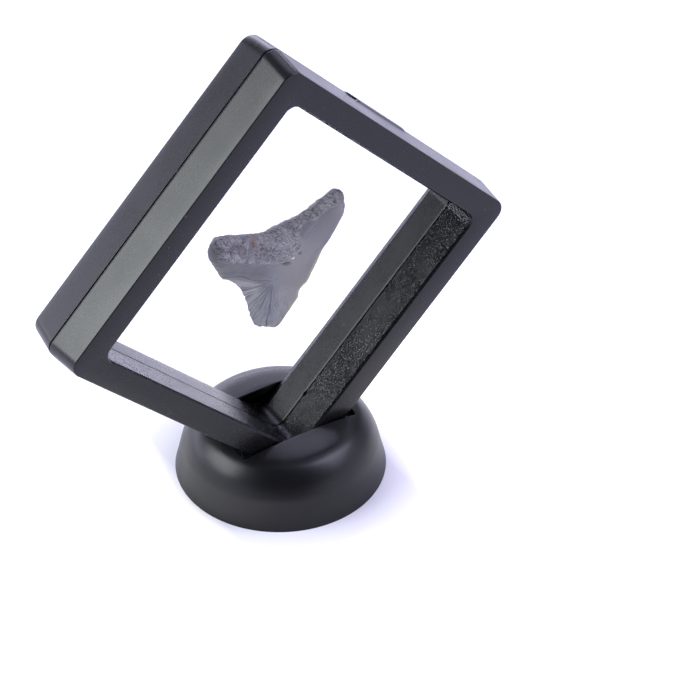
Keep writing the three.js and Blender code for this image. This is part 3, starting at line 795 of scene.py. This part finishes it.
def fossil(name):
    """Violet grey stone: smooth enamel with cracks, a rough pale and dark root, warm thin edges, with painted
    light on crests, painted shade in hollows and pits, and a painted glint.
    """
    nodes = Nodes(name)
    mark = {key: nodes.value(key) for key in (
        "rough", "patches", "shades", "pit_with_painted_shade", "chip", "thin", "crack", "light", "blue", "dusk", "fan",
        "orange", "painted_glint", "painted_crest_light", "hollow",
    )}
    cloud = nodes.noise(220, 4, 0.55)
    grain = nodes.noise(2400, 4, 0.65)
    mottle = nodes.noise(1000, 5, 0.7)

    def tint(colour, share, goal, amount=1.0):
        if amount != 1.0:
            share = nodes.math("MULTIPLY", share, amount)
        return nodes.blend(share, colour, (*goal, 1))

    colour = nodes.blend(nodes.ramp(cloud, 0.3, 0.7), (0.166, 0.160, 0.164, 1), (0.192, 0.185, 0.188, 1))
    colour = tint(colour, mark["dusk"], (0.118, 0.120, 0.142), 0.9)
    streaks = nodes.ramp(nodes.noise(1300, 2, 0.5), 0.3, 0.7, 0.75, 1.0)
    colour = tint(colour, nodes.math("MULTIPLY", mark["light"], streaks), (0.520, 0.525, 0.500))
    colour = tint(colour, mark["blue"], (0.240, 0.270, 0.310), 0.6)
    colour = tint(colour, mark["thin"], (0.450, 0.425, 0.255), 0.9)
    root_tone = nodes.blend(nodes.ramp(mottle, 0.36, 0.64), (0.140, 0.134, 0.142, 1),
                            (0.240, 0.230, 0.237, 1))
    colour = nodes.blend(nodes.math("MULTIPLY", mark["rough"], 0.9), colour, root_tone)
    colour = tint(colour, mark["shades"], (0.100, 0.094, 0.106), 0.6)
    # Pale patches of crust together with painted light on the crests
    pale = nodes.math("MULTIPLY", mark["painted_crest_light"], nodes.math("MULTIPLY", mark["rough"], 0.6))
    pale = nodes.math("MAXIMUM", pale, mark["patches"])
    pale = nodes.math("MULTIPLY", pale, nodes.ramp(grain, 0.42, 0.58, 0.15, 0.75))
    colour = tint(colour, pale, (0.56, 0.545, 0.54))
    # Painted shade in the hollows of the relief
    colour = tint(colour, mark["hollow"], (0.055, 0.050, 0.060), 0.5)
    some = nodes.math("MULTIPLY", mark["rough"], nodes.ramp(cloud, 0.38, 0.56, 0.3, 1.0))
    squiggles = nodes.math("MULTIPLY", nodes.lines(nodes.noise(1150, 2, 0.5), 0.03, 0.09), some)
    colour = tint(colour, squiggles, (0.58, 0.565, 0.56), 0.55)
    furrows = nodes.math("MULTIPLY", nodes.lines(nodes.noise(930, 2, 0.5), 0.03, 0.08), some)
    colour = tint(colour, furrows, (0.050, 0.046, 0.055), 0.4)
    colour = tint(colour, nodes.math("MULTIPLY", fan_lines(nodes), mark["fan"]), (0.020, 0.026, 0.045), 0.7)
    colour = tint(colour, mark["crack"], (0.010, 0.014, 0.030))
    colour = tint(colour, mark["chip"], (0.022, 0.020, 0.030), 0.85)
    colour = tint(colour, mark["orange"], (0.40, 0.21, 0.13), 0.7)
    # Painted shade: the pits darkened to near black
    colour = tint(colour, mark["pit_with_painted_shade"], (0.002, 0.002, 0.003))
    # Painted glint: white where a small reflection would be
    colour = tint(colour, mark["painted_glint"], (1.0, 1.0, 1.0))
    gloss = nodes.ramp(mark["rough"], 0, 1, 0.42, 0.72)
    height = nodes.math("MULTIPLY", grain, nodes.ramp(mark["rough"], 0, 1, 0.15, 1.0))
    nodes.set(Base_Color=colour, Roughness=gloss, IOR=1.35, Normal=nodes.bump(height, 0.12 * MM))
    return nodes.material


# Films
def film(name, side, form):
    free = WINDOW_SIDE / 2 + 0.4
    lines = np.linspace(-free, free, FILM_CELLS + 1)
    across, along = np.meshgrid(lines, lines, indexing="ij")
    x, z = (across + along) / math.sqrt(2), (along - across) / math.sqrt(2)
    edge = inset(x, z)
    need = np.where(edge > 0, tooth_side(x, z, edge, form)[0] + FILM_PLAY, 0)
    wide = np.pad(need, 1)
    size = len(lines)
    need = np.max([wide[i:i + size, j:j + size] for i in range(3) for j in range(3)], axis=0)
    rise = need.copy()
    even = (np.add.outer(np.arange(size), np.arange(size)) % 2 == 0)[1:-1, 1:-1]
    for _ in range(FILM_ROUNDS):
        for colour in (even, ~even):
            pull = (rise[:-2, 1:-1] + rise[2:, 1:-1] + rise[1:-1, :-2] + rise[1:-1, 2:]) / 4
            inner = rise[1:-1, 1:-1]
            moved = np.maximum(inner + FILM_PULL * (pull - inner), need[1:-1, 1:-1])
            inner[colour] = moved[colour]
    rise = np.pad(rise, 1)
    size += 2
    lines = np.array([-FILM_HELD, *lines, FILM_HELD])
    across, along = np.meshgrid(lines, lines, indexing="ij")
    x, z = (across + along) / math.sqrt(2), (along - across) / math.sqrt(2)
    vertices = []
    for offset in (FILM_GAP / 2, FILM_GAP / 2 + FILM_THICKNESS):
        y = side * (rise + offset)
        vertices.append(np.stack([x, y, z + FRAME_MIDDLE], -1).reshape(-1, 3))
    index = np.arange(size * size).reshape(size, size)
    faces = grid_faces(index, flip=side < 0) + grid_faces(index + size * size, flip=side > 0)
    rim = np.concatenate([index[:-1, 0], index[-1, :-1], index[1:, -1][::-1], index[0, 1:][::-1]])
    for a, b in zip(rim, np.roll(rim, -1)):
        quad = (int(a), int(b), int(b) + size * size, int(a) + size * size)
        faces.append(quad if side < 0 else quad[::-1])
    return mesh_object(name, np.concatenate(vertices), faces)


# Light, and a floor that glows with painted light
# Darker parts of the studio, as azimuth, elevation, inner and outer angle, and share of light there
DARK_PARTS = [(-28, 34, 22, 60, 0.12), (-168, 34, 6, 26, 0.45), (108, 8, 14, 40, 0.3)]
# The floor's glow is painted light: it lifts the floor beyond the stand and fills the stand's shadow to the
# left and right, fading far away
FLOOR_GLOW = 0.26
GLOW_FROM_TO = (28, 40)
LEFT_GLOW = 0.55
RIGHT_GLOW = 0.45
SIDE_GLOW_FROM_TO = (24, 32)
SIDE_GLOW_FADE = (60, 110)


def direction(azimuth, elevation):
    """Towards a place seen from the object. Azimuth 0 is in front and 90 to the right."""
    a, e = math.radians(azimuth), math.radians(elevation)
    return Vector((math.sin(a) * math.cos(e), -math.cos(a) * math.cos(e), math.sin(e)))


def softbox(name, azimuth, elevation, spread, radiance, colour, distance=1.2):
    width, height = (2 * distance * math.tan(math.radians(s) / 2) for s in spread)
    data = bpy.data.lights.new(name, "AREA")
    data.shape, data.size, data.size_y = "RECTANGLE", width, height
    data.color = colour
    data.energy = radiance * math.pi * width * height
    light = bpy.data.objects.new(name, data)
    light.location = Vector((0, 0, 0.05)) + distance * direction(azimuth, elevation)
    light.rotation_euler = direction(azimuth, elevation).to_track_quat("Z", "Y").to_euler()
    light.visible_camera = False
    bpy.context.scene.collection.objects.link(light)


def studio():
    softbox("left_softbox", -111, 30.5, (37, 26), 8.7, (0.94, 1.0, 1.0), 0.55)
    softbox("right_softbox", 58, 48, (32, 34), 6.0, (0.95, 0.94, 1.22))
    softbox("back_strip", 155, 16, (50, 16), 4.0, (0.95, 0.93, 1.2))
    softbox("back_left_strip", -152, 7, (44, 13), 2.3, (0.95, 0.96, 1.15))
    softbox("back_top", 148, 46, (30, 22), 1.4, (0.95, 0.93, 1.3))
    world = bpy.data.worlds.new("studio")
    bpy.context.scene.world = world
    world.use_nodes = True
    tree = world.node_tree
    link = tree.links.new
    place = tree.nodes.new("ShaderNodeTexCoord")
    split = tree.nodes.new("ShaderNodeSeparateXYZ")
    link(place.outputs["Generated"], split.inputs[0])
    height = tree.nodes.new("ShaderNodeValToRGB")
    link(split.outputs["Z"], height.inputs[0])
    low, high = height.color_ramp.elements
    low.position, low.color = 0.18, (1.42, 1.40, 1.76, 1)
    high.position, high.color = 0.46, (0.44, 0.44, 0.57, 1)
    strength = None
    for azimuth, elevation, inner, outer, share in DARK_PARTS:
        towards = tree.nodes.new("ShaderNodeVectorMath")
        towards.operation = "DOT_PRODUCT"
        link(place.outputs["Generated"], towards.inputs[0])
        towards.inputs[1].default_value = direction(azimuth, elevation)
        dark = tree.nodes.new("ShaderNodeMapRange")
        dark.inputs["From Min"].default_value = math.cos(math.radians(outer))
        dark.inputs["From Max"].default_value = math.cos(math.radians(inner))
        dark.inputs["To Min"].default_value, dark.inputs["To Max"].default_value = 1, share
        dark.interpolation_type = "SMOOTHSTEP"
        link(towards.outputs["Value"], dark.inputs["Value"])
        if strength is None:
            strength = dark.outputs[0]
        else:
            both = tree.nodes.new("ShaderNodeMath")
            both.operation = "MULTIPLY"
            link(strength, both.inputs[0])
            link(dark.outputs[0], both.inputs[1])
            strength = both.outputs[0]
    link(height.outputs[0], tree.nodes["Background"].inputs["Color"])
    link(strength, tree.nodes["Background"].inputs["Strength"])


def floor():
    size = 4000
    piece = mesh_object("floor", [(-size, -size, 0), (size, -size, 0), (size, size, 0), (-size, size, 0)],
                        [(0, 1, 2, 3)])
    nodes = Nodes("pale_floor_with_painted_light")
    cloud = nodes.ramp(nodes.noise(3, 2, 0.5), 0.3, 0.7)
    shade = nodes.blend(cloud, (0.82, 0.815, 0.86, 1), (0.84, 0.835, 0.88, 1))
    away = nodes.add("ShaderNodeVectorMath", {0: nodes.place()}, operation="LENGTH").outputs["Value"]
    around = nodes.ramp(away, GLOW_FROM_TO[0] * MM, GLOW_FROM_TO[1] * MM, 0.0, FLOOR_GLOW)
    across = nodes.add("ShaderNodeSeparateXYZ", {0: nodes.place()}).outputs["X"]
    start, end = (edge * MM for edge in SIDE_GLOW_FROM_TO)
    # Painted light that fills the shadow beside the stand, left and right
    painted_shadow_fill = nodes.math("ADD", nodes.ramp(across, -end, -start, LEFT_GLOW, 0.0),
                       nodes.ramp(across, start, end, 0.0, RIGHT_GLOW))
    near = nodes.ramp(away, SIDE_GLOW_FADE[0] * MM, SIDE_GLOW_FADE[1] * MM, 1.0, 0.0)
    glow = nodes.math("ADD", around, nodes.math("MULTIPLY", painted_shadow_fill, near))
    # Colour of the painted glow: bluish far off, warmer near the stand
    tone = nodes.blend(near, (0.95, 0.93, 1.25, 1), (1.1, 1.08, 1.0, 1))
    nodes.set(Base_Color=shade, Roughness=0.7, Emission_Color=tone, Emission_Strength=glow)
    piece.data.materials.append(nodes.material)


def camera():
    place, aim = Vector(CAMERA_PLACE) * MM, Vector(CAMERA_AIM) * MM
    data = bpy.data.cameras.new("camera")
    data.lens = CAMERA_LENS
    data.sensor_width = 36
    data.clip_start, data.clip_end = 0.01, 20
    taker = bpy.data.objects.new("camera", data)
    roll = Matrix.Rotation(math.radians(CAMERA_ROLL), 3, "Z")
    turn = (aim - place).to_track_quat("-Z", "Y").to_matrix() @ roll
    taker.matrix_world = Matrix.Translation(place) @ turn.to_4x4()
    bpy.context.scene.collection.objects.link(taker)
    bpy.context.scene.camera = taker


camera()
studio()
floor()
FRAME_PLASTIC = moulded_plastic("frame_plastic", (0.0034, 0.0035, 0.0045), 0.28, 0.002)
STAND_PLASTIC = moulded_plastic("stand_plastic", (0.0032, 0.0033, 0.0043), 0.34, 0.002)
FILM_CLEAR = clear_film("clear_film")
dress(frame_half("front_half", -1), "frame_front", FRAME_PLASTIC, 40)
dress(frame_half("back_half", 1), "frame_back", FRAME_PLASTIC, 40)
dress(stand(), "stand", STAND_PLASTIC, 40)
dress(tooth(), "tooth", fossil("fossil"))
dress(film("film_over_front", -1, FRONT_SIDE), "film_front", FILM_CLEAR)
dress(film("film_over_back", 1, BACK_SIDE), "film_back", FILM_CLEAR)

bpy.context.scene.view_settings.view_transform = "Standard"
